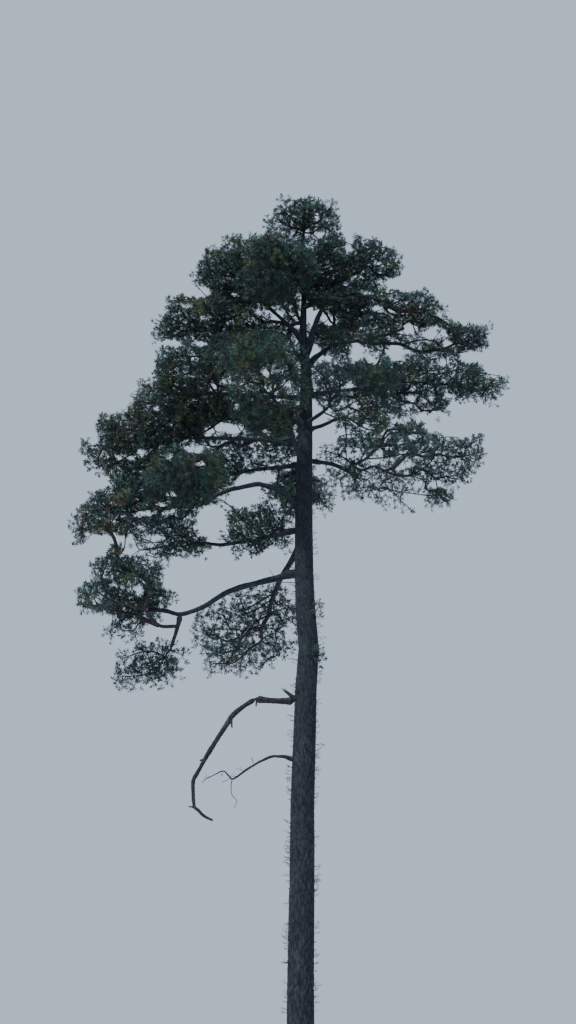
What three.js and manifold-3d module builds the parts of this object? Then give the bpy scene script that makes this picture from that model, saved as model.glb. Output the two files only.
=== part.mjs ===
// A tall old pine: a long bare trunk, two dead limbs low on its left, and a crown of tapering boughs
// that carry layered masses of needles. Millimetres, +Z up. The origin is the middle of the flat cut
// under the trunk, at ground level. +X is the right of someone who looks along +Y.
import * as THREE from "three";
import { mergeVertices } from "three/addons/utils/BufferGeometryUtils.js";
import Module from "manifold-3d";

const wasm = await Module();
wasm.setup();

const CLEARANCE = 0.4; // pieces that meet keep this far apart

// The trunk by stations: height, diameter, and how far its middle has swayed along X and Y there.
const TRUNK = [
  [0, 700, 0, 0],
  [3000, 650, 15, 0],
  [7500, 622, 80, 30],
  [10600, 592, 172, 20],
  [12200, 560, 285, 0],
  [13900, 535, 170, 0],
  [16400, 505, 170, 0],
  [18300, 465, 210, 0],
  [20400, 370, 270, 0],
  [21900, 300, 280, 0],
  [23000, 190, 140, 30],
  [24200, 150, 230, 60],
  [26000, 95, 220, 30],
  [27400, 45, 250, 0],
];
const TRUNK_SIDES = 15;
const TRUNK_RINGS = 24;
const BUTT_RINGS = 0.25; // share of the rings' spacing that crowds them towards the butt

// The root flare stands out by its reach at ground level and fades over its height.
const FLARE = { reach: 125, height: 350, ridges: 5, ridge: 0.35 };

// Each bough leaves the trunk at a height, or its parent bough at a share of its length. It sets out
// at its rise and arrives at its fall, in degrees, bows sideways, and enters the mass of its own name.
const BOUGHS = {
  tier1_left: { height: 14520, diameter: 180, rise: -2, fall: 28, bow: 150, low: 0.3 },
  tier1_drop: { parent: "tier1_left", share: 0.78, diameter: 110, rise: -60, fall: -35 },
  tier1_back: { height: 15500, diameter: 180, rise: -10, fall: -24, bow: 120 },
  tier2_backleft: { height: 15850, diameter: 130, rise: -6, fall: 10, bow: 200 },
  tier2_left: { height: 16500, diameter: 160, rise: 46, fall: -24, bow: 150 },
  tier3_leftback: { height: 17950, diameter: 125, rise: 16, fall: 4, bow: -250 },
  tier3_left: { height: 18650, diameter: 125, rise: -10, fall: 4, bow: 200 },
  tier3_front: { height: 17900, diameter: 140, rise: 12, fall: 10, bow: 200 },
  tier3_frontright: { height: 19150, diameter: 115, rise: 6, fall: -6, bow: -150 },
  tier3_right: { parent: "tier3_rightback", share: 0.55, diameter: 80, rise: 10, fall: 10 },
  tier3_rightback: { height: 18100, diameter: 125, rise: 4, fall: -3, bow: -250 },
  tier3_back: { height: 18300, diameter: 100, rise: 15, fall: 0, bow: 150 },
  tier4_left: { height: 20200, diameter: 120, rise: 4, fall: 2, bow: -150 },
  tier4_right: { height: 20300, diameter: 110, rise: 12, fall: -2, bow: 120 },
  tier4_back: { height: 19700, diameter: 105, rise: 25, fall: 8, bow: -150 },
  tier4_backright: { height: 19000, diameter: 120, rise: 40, fall: 18, bow: 200, low: -0.2 },
  tier5_left: { height: 21600, diameter: 110, rise: 30, fall: 8, bow: 150 },
  tier5_right: { height: 21400, diameter: 140, rise: 46, fall: 25, bow: 120, low: 0.46 },
  tier5_leader: { height: 21700, diameter: 170, rise: 76, fall: 30, bow: -60 },
  tier5_forkleft: { height: 22200, diameter: 120, rise: 59, fall: 50, bow: 100, low: 0.24 },
};
const LIMB = { sides: 6, rings: 5, tip: 0.56 }; // the tip is a share of the limb's base diameter
const BEND = { leave: 0.36, arrive: 0.32 }; // how far along a bough its rise and its fall hold
const HEART = { short: 0.2, low: 0.16 }; // where a bough ends in its mass, as shares of the mass

// Masses of needles: the middle, then the length, width and depth, then the bearing of the length,
// in degrees anticlockwise from +X, and the slope at which it climbs.
const MASSES = {
  tier1_left: { at: [-4850, 600, 14100], size: [2950, 3300, 1700], heading: 180, slope: 0 },
  tier1_drop: { at: [-4150, 1500, 12150], size: [2150, 1900, 1150], heading: 175, slope: -8 },
  tier1_back: { at: [-1450, 3700, 13850], size: [3700, 3500, 1500], heading: 130, slope: -16 },
  tier2_backleft_near: { at: [-1250, 1000, 16150], size: [2100, 2600, 1450], heading: 180, slope: 0 },
  tier2_backleft: { at: [-3900, 2500, 16500], size: [2700, 1700, 1000], heading: 165, slope: -4 },
  tier2_left: { at: [-3850, 0, 16650], size: [3200, 2500, 1350], heading: 178, slope: -6 },
  tier2_left_tip: { at: [-5450, -200, 15850], size: [2000, 1800, 1200], heading: 180, slope: -4 },
  tier2_left_front: { at: [-2950, -1850, 16450], size: [2400, 2150, 1150], heading: 215, slope: 0 },
  tier3_leftback: { at: [-3500, 1700, 18500], size: [4600, 2350, 1200], heading: 172, slope: -5 },
  tier3_left: { at: [-4100, 0, 19150], size: [2700, 2250, 1300], heading: 180, slope: 4 },
  tier3_left_tip: { at: [-5500, 0, 18450], size: [1900, 2050, 1150], heading: 182, slope: -10 },
  tier3_front: { at: [-1050, -3400, 19000], size: [2900, 2350, 1000], heading: 254, slope: 4 },
  tier3_frontright: { at: [1500, -2600, 18900], size: [2600, 2250, 1150], heading: 300, slope: 0 },
  tier3_right: { at: [2350, -700, 18250], size: [2500, 1900, 950], heading: 350, slope: 0 },
  tier3_right_tip: { at: [4050, 300, 18500], size: [2450, 1900, 950], heading: 5, slope: 0 },
  tier3_rightback: { at: [3000, 2200, 18250], size: [3500, 2050, 950], heading: 25, slope: -4 },
  tier3_right_front: { at: [2900, -1900, 17900], size: [1900, 1700, 900], heading: 325, slope: 0 },
  tier3_back: { at: [0, 3200, 18800], size: [2600, 2000, 1100], heading: 92, slope: 0 },
  tier4_left_near: { at: [-2350, 1300, 20200], size: [2600, 2700, 1150], heading: 165, slope: 0 },
  tier4_left: { at: [-3450, -800, 20300], size: [2400, 2900, 1400], heading: 195, slope: 0 },
  tier4_right: { at: [3200, -400, 20600], size: [2500, 2500, 1050], heading: 355, slope: 2 },
  tier4_right_tip: { at: [5250, 0, 20750], size: [2200, 2050, 950], heading: 0, slope: -3 },
  tier4_back: { at: [-700, 3000, 21200], size: [2500, 2250, 1200], heading: 104, slope: 4 },
  tier4_backright: { at: [2400, 2700, 20700], size: [2500, 2050, 1100], heading: 50, slope: 0 },
  tier5_left: { at: [-3000, 300, 23200], size: [3100, 2700, 1250], heading: 178, slope: -4 },
  tier5_right: { at: [3750, 0, 23250], size: [2350, 2200, 1100], heading: 0, slope: -8 },
  tier5_right_tip: { at: [5150, 200, 22500], size: [1650, 1850, 1000], heading: 5, slope: -4 },
  tier5_leader_low: { at: [1900, 300, 23800], size: [1900, 2000, 1400], heading: 10, slope: 0 },
  tier5_leader: { at: [2500, 0, 25350], size: [1700, 2100, 1300], heading: 0, slope: 10 },
  tier5_forkleft: { at: [-2250, 0, 24750], size: [2100, 2600, 1350], heading: 185, slope: 0 },
  stem_near: { at: [-800, -1500, 18500], size: [2100, 1550, 950], heading: 240, slope: 0 },
  stem_front: { at: [-550, -1550, 23850], size: [2400, 2000, 1300], heading: 250, slope: 0 },
  stem_back: { at: [1350, 2150, 24000], size: [2700, 2200, 950], heading: 50, slope: 0 },
  stem_left: { at: [-850, -100, 24750], size: [2200, 3000, 1700], heading: 200, slope: 0 },
  stem_right: { at: [850, 350, 25200], size: [1750, 2700, 1650], heading: 20, slope: 0 },
  stem_top: { at: [390, 0, 26950], size: [1900, 1900, 1400], heading: 0, slope: 0 },
};
const LARGE_MASS = 2150; // masses longer or wider than this have finer faces
const LUMPS = { size: 0.17, broad: 2.6, fine: 4.9, fineShare: 0.7, phase: 2.4 };
const UNDERSIDE = 0.8; // a mass is this much of its half depth below its middle
const TOPSIDE = 1.1; // and this much above

// The dead limbs, by the line that each follows. The broken one is in two, split at its bend.
const DEAD_LIMBS = [
  { name: "dead_limb_inner", ends: [172, 160], line: [[0, 0, 10750], [-600, 0, 10745], [-1160, 0, 10800]] },
  {
    name: "dead_limb_outer",
    ends: [158, 92],
    line: [
      [-1160, 0, 10800],
      [-1300, 20, 10830],
      [-1640, 80, 10510],
      [-2230, 200, 9550],
      [-2760, 300, 8600],
      [-2690, 300, 7950],
    ],
  },
  {
    name: "dead_limb_thin",
    ends: [88, 52],
    line: [[0, 0, 9100], [-550, 0, 9290], [-1150, -50, 9030], [-1640, -80, 8670]],
  },
];

const BARK = new THREE.MeshStandardMaterial({ color: 0x4b4139, roughness: 0.92, metalness: 0 });
const DEAD_WOOD = new THREE.MeshStandardMaterial({ color: 0x5d554c, roughness: 0.95, metalness: 0 });
const NEEDLES = new THREE.MeshStandardMaterial({ color: 0x2f4428, roughness: 0.7, metalness: 0 });

const radians = THREE.MathUtils.degToRad;

// The trunk's middle and diameter at a height, eased between the stations on either side of it.
function trunkAt(height) {
  const next = Math.max(1, TRUNK.findIndex(([station]) => station >= height));
  const [low, high] = [TRUNK[next - 1], TRUNK[next]];
  const share = (height - low[0]) / (high[0] - low[0]);
  const sway = THREE.MathUtils.smoothstep(share, 0, 1);
  const between = (column, t) => THREE.MathUtils.lerp(low[column], high[column], t);
  return {
    middle: new THREE.Vector3(between(2, sway), between(3, sway), height),
    diameter: between(1, share),
  };
}

// How much further out the butt stands at a height and an angle round it.
function flareAt(height, angle) {
  const ridges = 1 + FLARE.ridge * Math.sin(FLARE.ridges * angle + 1);
  return FLARE.reach * Math.exp(-height / FLARE.height) * ridges;
}

// Leaves only positions, with shared vertices merged, so that the mesh is closed.
function welded(geometry) {
  geometry.deleteAttribute("normal");
  geometry.deleteAttribute("uv");
  return mergeVertices(geometry, 1e-4);
}

function solid(geometry) {
  return new wasm.Manifold(
    new wasm.Mesh({
      numProp: 3,
      vertProperties: geometry.attributes.position.array,
      triVerts: new Uint32Array(geometry.index.array),
    }),
  );
}

// Moves each vertex of a geometry to where place(point) says.
function reshaped(geometry, place) {
  const positions = geometry.attributes.position;
  const point = new THREE.Vector3();
  for (let i = 0; i < positions.count; i++) {
    point.copy(place(point.fromBufferAttribute(positions, i)));
    positions.setXYZ(i, point.x, point.y, point.z);
  }
  return geometry;
}

// The trunk, its skin moved out by grow.
function trunkSolid(grow) {
  const top = TRUNK.at(-1)[0];
  const bar = welded(new THREE.CylinderGeometry(1, 1, 1, TRUNK_SIDES, TRUNK_RINGS));
  const place = ({ x, y, z }) => {
    const share = y + 0.5;
    const height = top * (BUTT_RINGS * share ** 3 + (1 - BUTT_RINGS) * share);
    const { middle, diameter } = trunkAt(height);
    const radius = diameter / 2 + flareAt(height, Math.atan2(-z, x)) + grow;
    return middle.add(new THREE.Vector3(radius * x, -radius * z, 0));
  };
  return solid(reshaped(bar, place));
}

// A limb that tapers along a curve from one diameter to the other, its skin and ends moved out by grow.
function limbSolid(curve, [thick, thin], grow) {
  const { tangents, normals, binormals } = curve.computeFrenetFrames(LIMB.rings);
  const bar = welded(new THREE.CylinderGeometry(1, 1, 1, LIMB.sides, LIMB.rings));
  const place = ({ x, y, z }) => {
    const share = y + 0.5;
    const ring = Math.round(share * LIMB.rings);
    const radius = THREE.MathUtils.lerp(thick, thin, share) / 2 + grow;
    const past = share === 0 ? -grow : share === 1 ? grow : 0;
    return curve
      .getPointAt(share)
      .addScaledVector(tangents[ring], past)
      .addScaledVector(binormals[ring], radius * x)
      .addScaledVector(normals[ring], radius * z);
  };
  return solid(reshaped(bar, place));
}

// How far a mass swells or sinks in a direction from its middle. Its seed moves the lumps round.
function swellAt({ x, y, z }, seed) {
  const phase = LUMPS.phase * seed;
  const broad = Math.sin(LUMPS.broad * x + phase) * Math.cos(LUMPS.broad * y - phase);
  const fine = Math.sin(LUMPS.fine * y + phase) * Math.cos(LUMPS.fine * (x + z) + phase);
  return 1 + LUMPS.size * (broad + LUMPS.fineShare * fine);
}

// A lumpy pad of needles, flatter underneath than on top, its skin moved out by grow.
function massSolid({ at, size, heading, slope, seed }, grow) {
  const ball = welded(new THREE.IcosahedronGeometry(1, Math.max(...size) > LARGE_MASS ? 2 : 1));
  const half = new THREE.Vector3(...size).multiplyScalar(0.5);
  const turn = new THREE.Euler(0, -radians(slope), radians(heading), "ZYX");
  const place = (point) => {
    const swell = swellAt(point, seed);
    point.multiply(half).multiplyScalar(swell);
    point.z *= point.z < 0 ? UNDERSIDE : TOPSIDE;
    return point.applyEuler(turn).add(new THREE.Vector3(...at));
  };
  reshaped(ball, place).computeVertexNormals();
  const outward = ball.attributes.normal;
  const positions = ball.attributes.position;
  for (let i = 0; i < positions.count; i++) {
    const point = new THREE.Vector3().fromBufferAttribute(outward, i).multiplyScalar(grow);
    point.add(new THREE.Vector3().fromBufferAttribute(positions, i));
    positions.setXYZ(i, point.x, point.y, point.z);
  }
  ball.deleteAttribute("normal");
  return solid(ball);
}

// The place inside a mass where its bough ends: on the trunk's side of the middle and below it.
function heartOf({ at, size, heading, slope }, low = HEART.low) {
  const back = HEART.short * size[0];
  return new THREE.Vector3(...at).add(
    new THREE.Vector3(
      -back * Math.cos(radians(heading)),
      -back * Math.sin(radians(heading)),
      -back * Math.tan(radians(slope)) - low * size[2],
    ),
  );
}

const boughNames = Object.keys(BOUGHS);
const masses = new Map(Object.entries(MASSES).map(([name, mass], seed) => [name, { ...mass, seed }]));

// A bough's line, from the middle of the trunk or of its parent bough to the heart of its mass.
function boughCurve(name) {
  const { height, parent, share, rise, fall, low, bow = 0 } = BOUGHS[name];
  const start = parent ? boughCurve(parent).getPointAt(share) : trunkAt(height).middle;
  const end = heartOf(masses.get(name), low);
  const ahead = end.clone().sub(start).setZ(0);
  const reach = ahead.length();
  ahead.normalize();
  const aside = new THREE.Vector3(-ahead.y, ahead.x, 0).multiplyScalar(bow);
  const leave = start.clone().addScaledVector(ahead, reach * BEND.leave).add(aside);
  leave.z += reach * BEND.leave * Math.tan(radians(rise));
  const arrive = end.clone().addScaledVector(ahead, -reach * BEND.arrive).add(aside);
  arrive.z -= reach * BEND.arrive * Math.tan(radians(fall));
  return new THREE.CubicBezierCurve3(start, leave, arrive, end);
}

function boughSolid(name, grow) {
  const { diameter } = BOUGHS[name];
  return limbSolid(boughCurve(name), [diameter, diameter * LIMB.tip], grow);
}

// The largest body of a solid that cuts may have parted.
function largest(parted) {
  return parted.decompose().sort((a, b) => b.volume() - a.volume())[0];
}

// A named mesh of a solid, with its own origin at the middle of its box.
function piece(name, made, material) {
  const { vertProperties, triVerts } = made.getMesh();
  const geometry = new THREE.BufferGeometry();
  geometry.setAttribute("position", new THREE.BufferAttribute(vertProperties, 3));
  geometry.setIndex(new THREE.BufferAttribute(triVerts, 1));
  geometry.computeBoundingBox();
  const middle = geometry.boundingBox.getCenter(new THREE.Vector3()).round();
  geometry.translate(-middle.x, -middle.y, -middle.z);
  const mesh = new THREE.Mesh(geometry, material);
  mesh.name = name;
  mesh.position.copy(middle);
  return mesh;
}

const tree = new THREE.Group();
tree.add(piece("trunk", trunkSolid(0), BARK));
const trunkRoom = trunkSolid(CLEARANCE);

// Each bough starts at the trunk's skin, or at its parent's, and ends at the skin of its mass.
const boughGroup = new THREE.Group();
const boughRooms = new Map(boughNames.map((name) => [name, boughSolid(name, CLEARANCE)]));
for (const name of boughNames) {
  const root = boughRooms.get(BOUGHS[name].parent) ?? trunkRoom;
  const cut = boughSolid(name, 0).subtract(root).subtract(massSolid(masses.get(name), CLEARANCE));
  boughGroup.add(piece("bough_" + name, largest(cut), BARK));
}
tree.add(boughGroup);

const deadGroup = new THREE.Group();
let deadRoom = trunkRoom;
for (const { name, ends, line } of DEAD_LIMBS) {
  const curve = new THREE.CatmullRomCurve3(line.map((point) => new THREE.Vector3(...point)));
  deadGroup.add(piece(name, largest(limbSolid(curve, ends, 0).subtract(deadRoom)), DEAD_WOOD));
  deadRoom = deadRoom.add(limbSolid(curve, ends, CLEARANCE));
}
tree.add(deadGroup);

// Each mass is cut round the trunk, round the boughs that pass it and round the masses before it.
const foliageGroup = new THREE.Group();
let massRoom = trunkRoom;
for (const [name, mass] of masses) {
  let cut = massSolid(mass, 0).subtract(massRoom);
  for (const passing of boughNames.filter((other) => other !== name)) {
    cut = cut.subtract(boughRooms.get(passing));
  }
  foliageGroup.add(piece("foliage_" + name, largest(cut), NEEDLES));
  massRoom = massRoom.add(massSolid(mass, CLEARANCE));
}
tree.add(foliageGroup);

export default tree;
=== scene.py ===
import math
import random

import bmesh
import bpy
import numpy as np
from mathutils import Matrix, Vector, noise
from mathutils.bvhtree import BVHTree


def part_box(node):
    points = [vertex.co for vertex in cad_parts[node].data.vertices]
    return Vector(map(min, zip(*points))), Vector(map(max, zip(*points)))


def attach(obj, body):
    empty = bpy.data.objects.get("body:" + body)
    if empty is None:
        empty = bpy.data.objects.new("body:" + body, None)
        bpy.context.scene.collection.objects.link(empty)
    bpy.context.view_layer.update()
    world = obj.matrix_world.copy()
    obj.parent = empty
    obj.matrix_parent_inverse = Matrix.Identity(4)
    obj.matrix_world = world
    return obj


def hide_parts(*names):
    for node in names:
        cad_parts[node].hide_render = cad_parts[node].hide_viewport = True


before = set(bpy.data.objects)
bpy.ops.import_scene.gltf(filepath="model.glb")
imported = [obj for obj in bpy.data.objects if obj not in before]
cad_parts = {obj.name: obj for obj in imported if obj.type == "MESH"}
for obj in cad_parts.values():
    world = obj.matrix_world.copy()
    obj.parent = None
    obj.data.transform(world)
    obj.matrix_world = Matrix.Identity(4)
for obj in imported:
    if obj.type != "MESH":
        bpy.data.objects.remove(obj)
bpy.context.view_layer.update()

# Trunk: one stem from its flat cut at the ground to its tip in the crown, with a ridged root flare.
# Its grey-brown bark has split into long plates, with deep furrows at the foot that grow fine above. Its
# colours are painted darker and bluer, as bark in shade under a blue sky.
TRUNK_SIDES = 112
TRUNK_RINGS = 560
TRUNK_CUTS = 48
TRUNK_EDGE = 0.01  # how far cuts and rays keep from the trunk's flat ends
RING_CROWDING = 0.35  # how much closer the rings lie at the foot, where the furrows are deep
RAY_START = 2  # metres from the trunk's middle
FLATS_EVENED = 4  # sides to the left and to the right over which the CAD trunk's flats are evened out
BARK_PLATE = {"width": 0.10, "height": 0.34, "depth": 0.020}
BARK_FLAKE = {"width": 0.030, "height": 0.075, "depth": 0.0045}
BARK_SEEDS = {"plate": 0, "flake": 7}
BARK_OUT = 0.4  # share of a plate's depth that stands out past the CAD trunk
BARK_AT_TIP = 0.32  # share of the plates' size that is left at the tip of the trunk
FLAKE_SHADE = 0.35  # how much of a plate's shade its flakes make up
FURROW = 0.22  # how far a furrow's slope reaches into its plate, as a share of the plate
EDGE_WANDER = {"across": 5, "along": 2.2, "share": 0.7}  # of the plates' edges
# painted shade: all three bark colours are darker and bluer than grey-brown bark, as in shade under a blue
# sky
SHADED_BARK_COLOURS = {
    "furrow": (0.006, 0.009, 0.014),
    "plate": (0.025, 0.033, 0.046),
    "lichen": (0.041, 0.054, 0.071),
}
MOTTLE = {"dark": 0.62, "from": 0.35, "to": 0.66}  # how dark a plate's dark spots are, and where they end
LICHEN = {"from": 0.52, "to": 0.70, "most": 0.55}  # where in the noise it grows, and how thick at most
BARK_NOISE = {"mottle": (2.0, 7.0), "fine": (16.0, 5.0), "patches": (1.3, 6.0)}  # scale and detail
GRAIN_SCALE = (9, 9, 2.2)  # finer across the limb than along it
GRAIN_BUMP = {"Strength": 0.6, "Distance": 0.012}
DULL = {"Roughness": 0.93, "Specular IOR Level": 0.25}


def skin_of(node):
    """The surface of a CAD node, for rays and for the nearest point."""
    return BVHTree.FromObject(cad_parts[node], bpy.context.evaluated_depsgraph_get())


def middle_of_cut(node, at, along):
    """The middle of the outline in which a plane cuts a CAD node."""
    section = bmesh.new()
    section.from_mesh(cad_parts[node].data)
    bmesh.ops.remove_doubles(section, verts=section.verts, dist=1e-5)
    everything = section.verts[:] + section.edges[:] + section.faces[:]
    cut = bmesh.ops.bisect_plane(section, geom=everything, plane_co=at, plane_no=along)
    outline = np.array([part.co for part in cut["geom_cut"] if isinstance(part, bmesh.types.BMVert)])
    section.free()
    return (outline.min(axis=0) + outline.max(axis=0)) / 2


def length_of(vectors):
    """The lengths of vectors, each still in a row of its own."""
    return np.linalg.norm(vectors, axis=-1, keepdims=True)


def unit(vectors):
    """The same vectors at a length of one."""
    return vectors / np.maximum(length_of(vectors), 1e-9)


def curved(points, step):
    """Points about a step apart on a smooth curve through the given ones. Further columns follow."""
    points = np.asarray(points, float)
    row = np.vstack([2 * points[0] - points[1], points, 2 * points[-1] - points[-2]])
    stretches = []
    for a, b, c, d in zip(row, row[1:], row[2:], row[3:]):
        count = max(1, round(np.linalg.norm((c - b)[:3]) / step))
        t = (np.arange(count) / count)[:, None]
        bend = (2 * a - 5 * b + 4 * c - d) * t**2 + (3 * b - a - 3 * c + d) * t**3
        stretches.append((2 * b + (c - a) * t + bend) / 2)
    return np.vstack([*stretches, points[-1:]])


def square_to(line):
    """Two directions square to a line at each of its points, carried along it without twist."""
    ahead = unit(np.gradient(line, axis=0))
    aside = np.cross(ahead[0], (0, 0, 1) if abs(ahead[0][2]) < 0.9 else (1, 0, 0))
    across = []
    for direction in ahead:
        aside = unit(aside - direction * (aside @ direction))
        across.append(aside)
    across = np.array(across)
    return across, np.cross(ahead, across)


def plate_at(place, size, seed):
    """How far up its bark plate a place lies, from 0 in the furrow to 1 on the flat of the plate."""
    x, y, z = place
    across, along = EDGE_WANDER["across"], EDGE_WANDER["along"]
    warp = noise.noise(Vector((x * across, y * across, z * along + seed))) * EDGE_WANDER["share"]
    cell = Vector((x / size["width"] + warp, y / size["width"] - warp, z / size["height"] + seed))
    nearest, next_nearest = noise.voronoi(cell)[0][:2]
    slope = min(1, (next_nearest - nearest) / FURROW)
    return slope * slope * (3 - 2 * slope)


def bark_bar(sides, rings, place_vertex):
    """A closed bar cut into rings, each vertex put where place_vertex(ring, turn) says."""
    bar = bmesh.new()
    bmesh.ops.create_cone(bar, cap_ends=True, segments=sides, radius1=1, radius2=1, depth=1)
    upright = [e for e in bar.edges if abs(e.verts[0].co.z - e.verts[1].co.z) > 0.5]
    bmesh.ops.subdivide_edges(bar, edges=upright, cuts=rings - 1, use_grid_fill=True)
    relief = bar.verts.layers.float.new("relief")
    for vertex in bar.verts:
        ring = round((vertex.co.z + 0.5) * rings)
        vertex.co, vertex[relief] = place_vertex(ring, math.atan2(vertex.co.y, vertex.co.x))
    bar.normal_update()
    return bar


def shown(name, made, material, nodes=()):
    """Puts a finished mesh into the scene as a piece that stands for these CAD nodes."""
    if isinstance(made, bmesh.types.BMesh):
        mesh = bpy.data.meshes.new(name)
        made.to_mesh(mesh)
        made.free()
        mesh.polygons.foreach_set("use_smooth", [True] * len(mesh.polygons))
    else:
        mesh = made
    thing = bpy.data.objects.new(name, mesh)
    bpy.context.scene.collection.objects.link(thing)
    mesh.materials.append(material)
    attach(thing, "root")
    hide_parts(*nodes)


def linked(material, kind, inputs=None, **settings):
    """Adds a node to a material, sets it up, and links or sets its inputs."""
    node = material.node_tree.nodes.new(kind)
    for key, value in settings.items():
        setattr(node, key, value)
    for key, value in (inputs or {}).items():
        if isinstance(value, bpy.types.NodeSocket):
            material.node_tree.links.new(value, node.inputs[key])
        else:
            node.inputs[key].default_value = value
    return node


def ramp(material, factor, *stops):
    """A colour ramp over a factor, by stops of place and colour."""
    node = linked(material, "ShaderNodeValToRGB", {"Fac": factor})
    elements = node.color_ramp.elements
    while len(elements) < len(stops):
        elements.new(0.5)
    for element, (place, colour) in zip(elements, stops):
        element.position = place
        element.color = (*colour, 1)
    return node.outputs["Color"]


def mixed(material, factor, under, over):
    """A colour that goes with a factor from one to another, each a socket or a plain colour."""
    colours = {6: under, 7: over}
    for index, value in colours.items():
        if not isinstance(value, bpy.types.NodeSocket):
            colours[index] = (*value, 1)
    return linked(material, "ShaderNodeMix", {0: factor, **colours}, data_type="RGBA").outputs[2]


def new_material(name, surface):
    """A material, and its shader with these plain values set."""
    material = bpy.data.materials.new(name)
    material.use_nodes = True
    shader = material.node_tree.nodes["Principled BSDF"]
    for key, value in surface.items():
        shader.inputs[key].default_value = value
    return material, shader


def place_on(material):
    """The place on the object, for a pattern that stays with it."""
    return linked(material, "ShaderNodeTexCoord").outputs["Object"]


def noise_over(material, place, scale, detail):
    """Soft noise over a place."""
    inputs = {"Vector": place, "Scale": scale, "Detail": detail}
    return linked(material, "ShaderNodeTexNoise", inputs).outputs["Fac"]


def bark_finish(name, furrow, plate, lichen):
    """Bark or dead wood: dark furrows, mottled plates, a bloom of lichen, and fine grain along the limb."""
    material, shader = new_material(name, DULL)
    place = place_on(material)
    grain = linked(material, "ShaderNodeMapping", {"Vector": place, "Scale": GRAIN_SCALE}).outputs[0]
    mottle = noise_over(material, grain, *BARK_NOISE["mottle"])
    fine = noise_over(material, grain, *BARK_NOISE["fine"])
    patches = noise_over(material, place, *BARK_NOISE["patches"])
    relief = linked(material, "ShaderNodeAttribute", attribute_name="relief")
    darker = [channel * MOTTLE["dark"] for channel in plate]
    plates = ramp(material, mottle, (MOTTLE["from"], darker), (MOTTLE["to"], plate))
    stops = (LICHEN["from"], (0, 0, 0)), (LICHEN["to"], [LICHEN["most"]] * 3)
    overgrown = mixed(material, ramp(material, patches, *stops), plates, lichen)
    colour = mixed(material, relief.outputs["Fac"], furrow, overgrown)
    bump = linked(material, "ShaderNodeBump", {"Height": fine, **GRAIN_BUMP})
    material.node_tree.links.new(colour, shader.inputs["Base Color"])
    material.node_tree.links.new(bump.outputs["Normal"], shader.inputs["Normal"])
    return material


trunk_skin = skin_of("trunk")
trunk_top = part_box("trunk")[1][2]
cut_heights = np.linspace(2 * TRUNK_EDGE, trunk_top - 2 * TRUNK_EDGE, TRUNK_CUTS)
cut_middles = np.array([middle_of_cut("trunk", (0, 0, height), (0, 0, 1)) for height in cut_heights])
ring_share = np.arange(TRUNK_RINGS + 1) / TRUNK_RINGS
ring_heights = trunk_top * (RING_CROWDING * ring_share**2 + (1 - RING_CROWDING) * ring_share)


def trunk_middle(height):
    """The middle of the trunk at a height."""
    x, y = (np.interp(height, cut_heights, cut_middles[:, axis]) for axis in (0, 1))
    return np.array([x, y, height])


def trunk_reach(height, turn):
    """How far the trunk's skin stands from its middle at a height and a turn round it."""
    ray = Vector((math.cos(turn), math.sin(turn), 0))
    middle = Vector(trunk_middle(min(max(height, TRUNK_EDGE), trunk_top - TRUNK_EDGE)))
    hit = trunk_skin.ray_cast(middle + ray * RAY_START, -ray)[0]
    return (hit - middle).length


side_turns = np.arange(TRUNK_SIDES) * math.tau / TRUNK_SIDES
reaches = np.array([[trunk_reach(height, turn) for turn in side_turns] for height in ring_heights])
shifts = range(-FLATS_EVENED, FLATS_EVENED + 1)
reaches = np.mean([np.roll(reaches, shift, axis=1) for shift in shifts], axis=0)


def trunk_vertex(ring, turn):
    """A vertex of the trunk's bark: its place, and how high on its plate it lies."""
    height = ring_heights[ring]
    middle = trunk_middle(height)
    reach = reaches[ring][round(turn / math.tau * TRUNK_SIDES) % TRUNK_SIDES]
    young = 1 - (1 - BARK_AT_TIP) * height / trunk_top
    skin = middle + reach * np.array([math.cos(turn), math.sin(turn), 0])
    on_plate = plate_at(skin / young, BARK_PLATE, BARK_SEEDS["plate"])
    on_flake = plate_at(skin / young, BARK_FLAKE, BARK_SEEDS["flake"])
    sunk = (1 - on_plate) * BARK_PLATE["depth"] + (1 - on_flake) * BARK_FLAKE["depth"]
    reach += (BARK_PLATE["depth"] * BARK_OUT - sunk) * young
    skin = middle + reach * np.array([math.cos(turn), math.sin(turn), 0])
    return Vector(skin), on_plate * (1 - FLAKE_SHADE + FLAKE_SHADE * on_flake)


# the trunk and the boughs share these bark colours, which have painted shade in them
bark = bark_finish("plated bark", **SHADED_BARK_COLOURS)
shown("trunk_bark", bark_bar(TRUNK_SIDES, TRUNK_RINGS, trunk_vertex), bark, ["trunk"])

# Boughs: tapering limbs that leave the trunk in five rough tiers, each with a collar at its foot.
# Their bark is thinner than the trunk's, in small plates, and they wander a little as they grow.
BOUGH_SIDES = 20
BOUGH_STEP = 0.045
BOUGH_PLATE = {"width": 0.045, "height": 0.09, "depth": 0.007}
BOUGH_BARK = 0.008  # how far the bark stands out past the CAD limb
BOUGH_TIP = 0.10  # how far a bough runs on past the CAD limb
BOUGH_ROOT = 0.05  # how far a side bough runs on into the bough that carries it
BOUGH_DROP = 0.1  # how far below its foot a level bough parts from the middle of the trunk
BOUGH_CROTCH = 0.45  # how much farther down a steep one does
ON_TRUNK = 0.6  # a bough whose foot lies this near to the trunk's middle grows from the trunk
COLLAR = {"swell": 0.45, "length": 0.22}
KNOBS = {"spacing": 2.5, "apart": 9, "share": 0.16}  # how high they stand, as a share of the radius
THIN_BARK = 0.2  # the deepest furrow, as a share of the limb's radius
LIMB_FURROWS = 0.6  # share of their depth that lies inside the limb's line
SPLINTERED_RINGS = 3  # at a broken end
SPLINTERS_ROUND = 3  # how finely they are torn
LIMB_CUTS = 12
CUT_SHARES = (0.03, 0.97)  # shares of the limb's length between which it is cut
FOOT_CORNERS = 3  # corners of the CAD limb that give the place of its foot
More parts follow.
